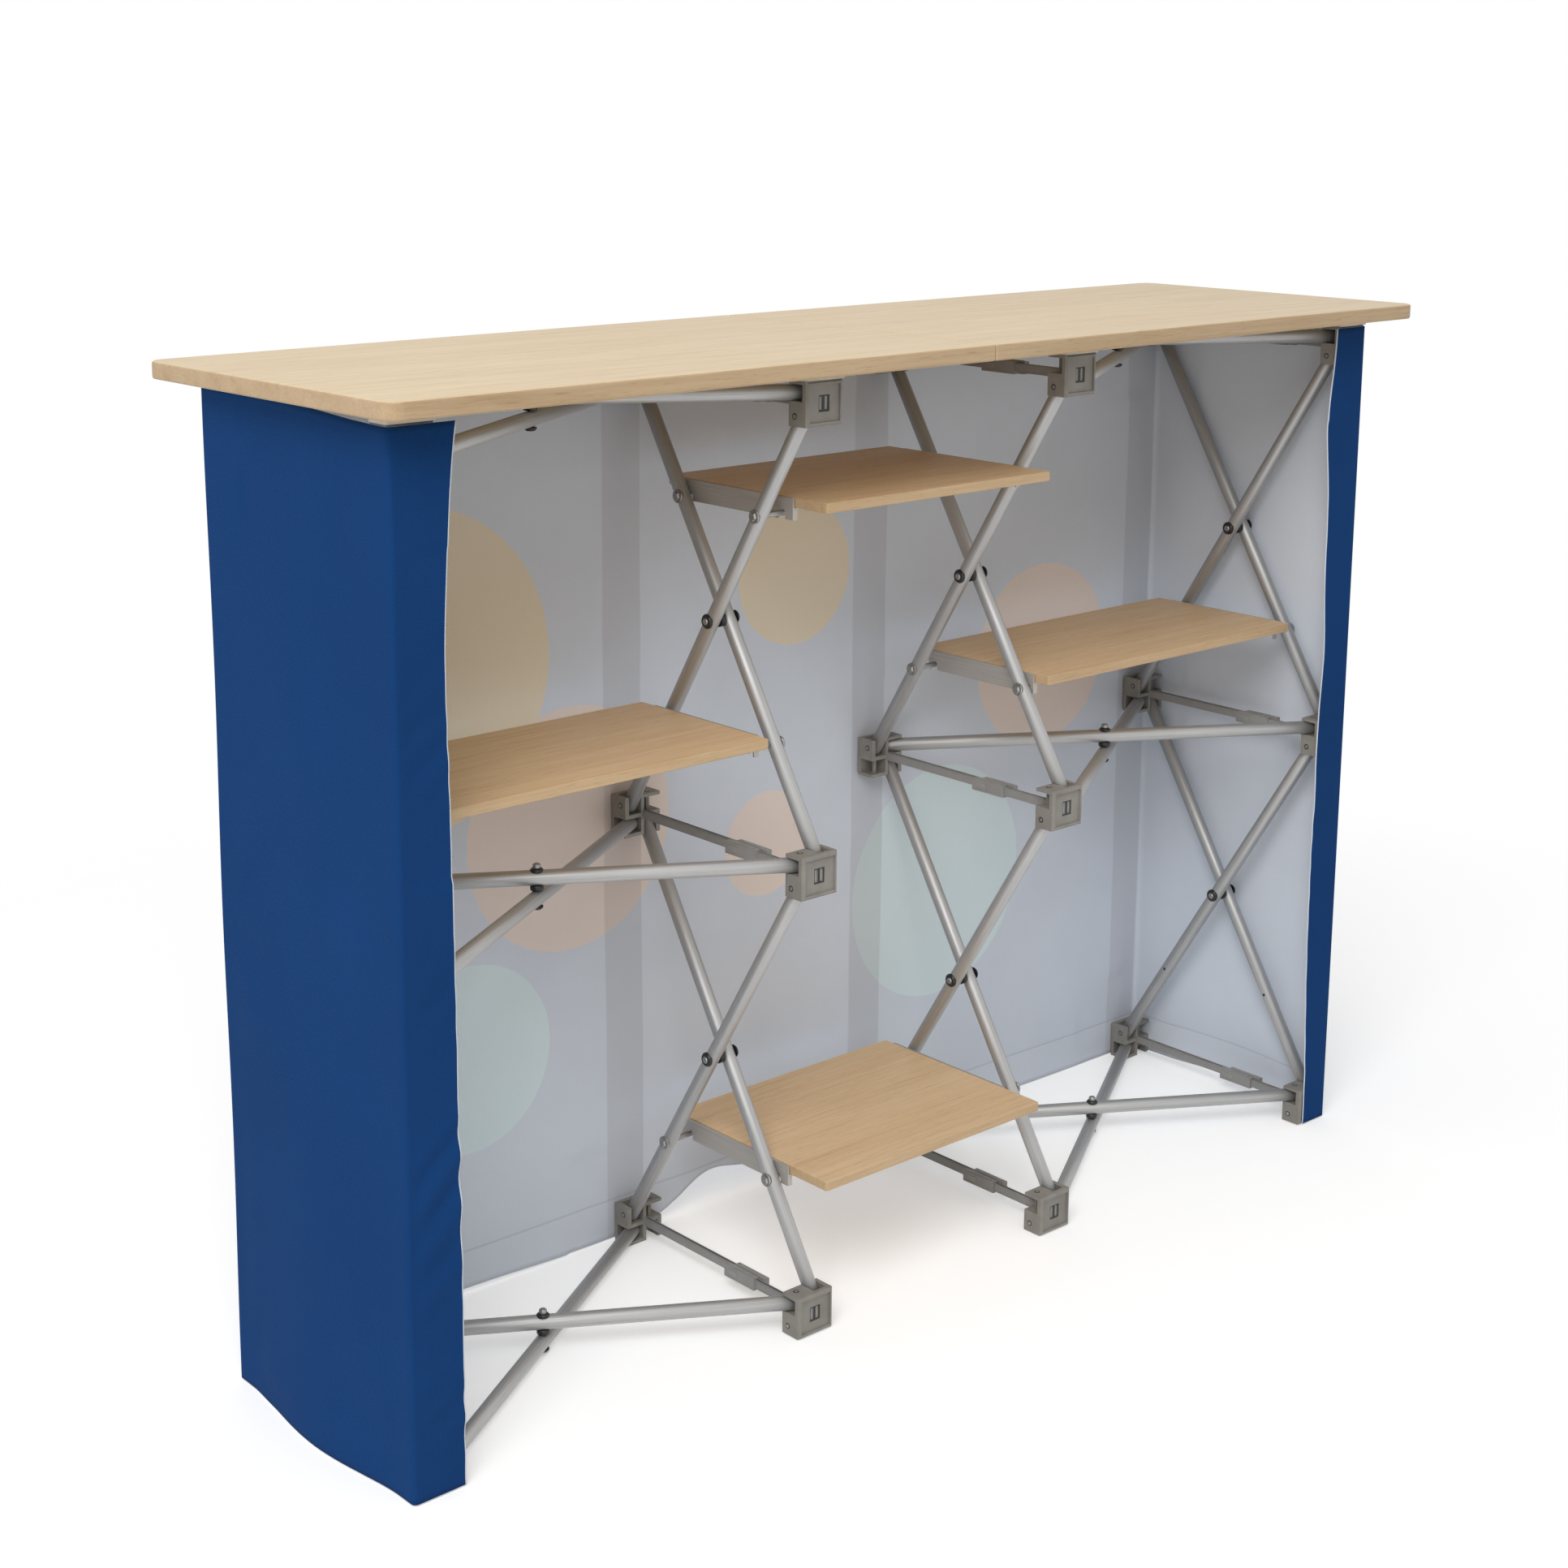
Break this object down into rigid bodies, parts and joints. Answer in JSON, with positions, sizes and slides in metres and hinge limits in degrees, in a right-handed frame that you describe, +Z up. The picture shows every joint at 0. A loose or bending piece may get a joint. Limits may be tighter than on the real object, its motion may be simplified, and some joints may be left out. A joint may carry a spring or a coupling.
{
  "type": "folding portable bar",
  "caption": "Pop-up bar counter: twin scissor-lattice frames that carry a split counter top, lift-off shelves and a fabric skirt, open on the server's side.",
  "frame": {"origin": "on the floor under the middle of the counter top", "axes": "+X along the counter to the right as the server sees it, +Y to the guests, +Z up"},
  "size_m": [1.37, 0.392, 0.98],
  "materials": {
    "hub_plastic": "moulded warm grey nylon, satin",
    "tube_aluminium": "drawn aluminium, satin",
    "counter_wood": "pale wood-grain laminate, satin",
    "shelf_wood": "wood-grain laminate, satin",
    "skirt_fabric": "printed knit polyester, matt"
  },
  "bodies": {
    "frame": {"hub_near_l_bottom": "hub_plastic", "hub_far_l_bottom": "hub_plastic", "hub_near_l_mid": "hub_plastic", "hub_far_l_mid": "hub_plastic", "hub_near_l_top": "hub_plastic", "hub_far_l_top": "hub_plastic", "hub_near_a_bottom": "hub_plastic", "hub_far_a_bottom": "hub_plastic", "hub_near_a_mid": "hub_plastic", "hub_far_a_mid": "hub_plastic", "hub_near_a_top": "hub_plastic", "hub_far_a_top": "hub_plastic", "hub_near_b_bottom": "hub_plastic", "hub_far_b_bottom": "hub_plastic", "hub_near_b_mid": "hub_plastic", "hub_far_b_mid": "hub_plastic", "hub_near_b_top": "hub_plastic", "hub_far_b_top": "hub_plastic", "hub_near_c_bottom": "hub_plastic", "hub_far_c_bottom": "hub_plastic", "hub_near_c_mid": "hub_plastic", "hub_far_c_mid": "hub_plastic", "hub_near_c_top": "hub_plastic", "hub_far_c_top": "hub_plastic", "ladder_l_lower_rising": "tube_aluminium", "ladder_l_lower_falling": "tube_aluminium", "ladder_l_upper_rising": "tube_aluminium", "ladder_l_upper_falling": "tube_aluminium", "ladder_a_lower_rising": "tube_aluminium", "ladder_a_lower_falling": "tube_aluminium", "ladder_a_upper_rising": "tube_aluminium", "ladder_a_upper_falling": "tube_aluminium", "ladder_b_lower_rising": "tube_aluminium", "ladder_b_lower_falling": "tube_aluminium", "ladder_b_upper_rising": "tube_aluminium", "ladder_b_upper_falling": "tube_aluminium", "ladder_c_lower_rising": "tube_aluminium", "ladder_c_lower_falling": "tube_aluminium", "ladder_c_upper_rising": "tube_aluminium", "ladder_c_upper_falling": "tube_aluminium", "brace_left_bottom_upper": "tube_aluminium", "brace_left_bottom_lower": "tube_aluminium", "brace_left_mid_upper": "tube_aluminium", "brace_left_mid_lower": "tube_aluminium", "brace_left_top_upper": "tube_aluminium", "brace_left_top_lower": "tube_aluminium", "brace_right_bottom_upper": "tube_aluminium", "brace_right_bottom_lower": "tube_aluminium", "brace_right_mid_upper": "tube_aluminium", "brace_right_mid_lower": "tube_aluminium", "brace_right_top_upper": "tube_aluminium", "brace_right_top_lower": "tube_aluminium", "fabric_skirt": "skirt_fabric"},
    "counter_left": {"counter_left": "counter_wood"},
    "counter_right": {"counter_right": "counter_wood"},
    "shelf_upper_middle": {"shelf_upper_middle": "shelf_wood"},
    "shelf_lower_middle": {"shelf_lower_middle": "shelf_wood"},
    "shelf_left": {"shelf_left": "shelf_wood"},
    "shelf_right": {"shelf_right": "shelf_wood"}
  },
  "joints": [
    {"name": "counter_left_lift", "type": "slide", "parent": "frame", "child": "counter_left", "axis": [0, 0, 1], "range_m": [0, 0.12]},
    {"name": "counter_right_lift", "type": "slide", "parent": "frame", "child": "counter_right", "axis": [0, 0, 1], "range_m": [0, 0.12]},
    {"name": "shelf_upper_middle_lift", "type": "slide", "parent": "frame", "child": "shelf_upper_middle", "axis": [0, 0, 1], "range_m": [0, 0.04]},
    {"name": "shelf_lower_middle_lift", "type": "slide", "parent": "frame", "child": "shelf_lower_middle", "axis": [0, 0, 1], "range_m": [0, 0.04]},
    {"name": "shelf_left_lift", "type": "slide", "parent": "frame", "child": "shelf_left", "axis": [0, 0, 1], "range_m": [0, 0.04]},
    {"name": "shelf_right_lift", "type": "slide", "parent": "frame", "child": "shelf_right", "axis": [0, 0, 1], "range_m": [0, 0.04]}
  ]
}
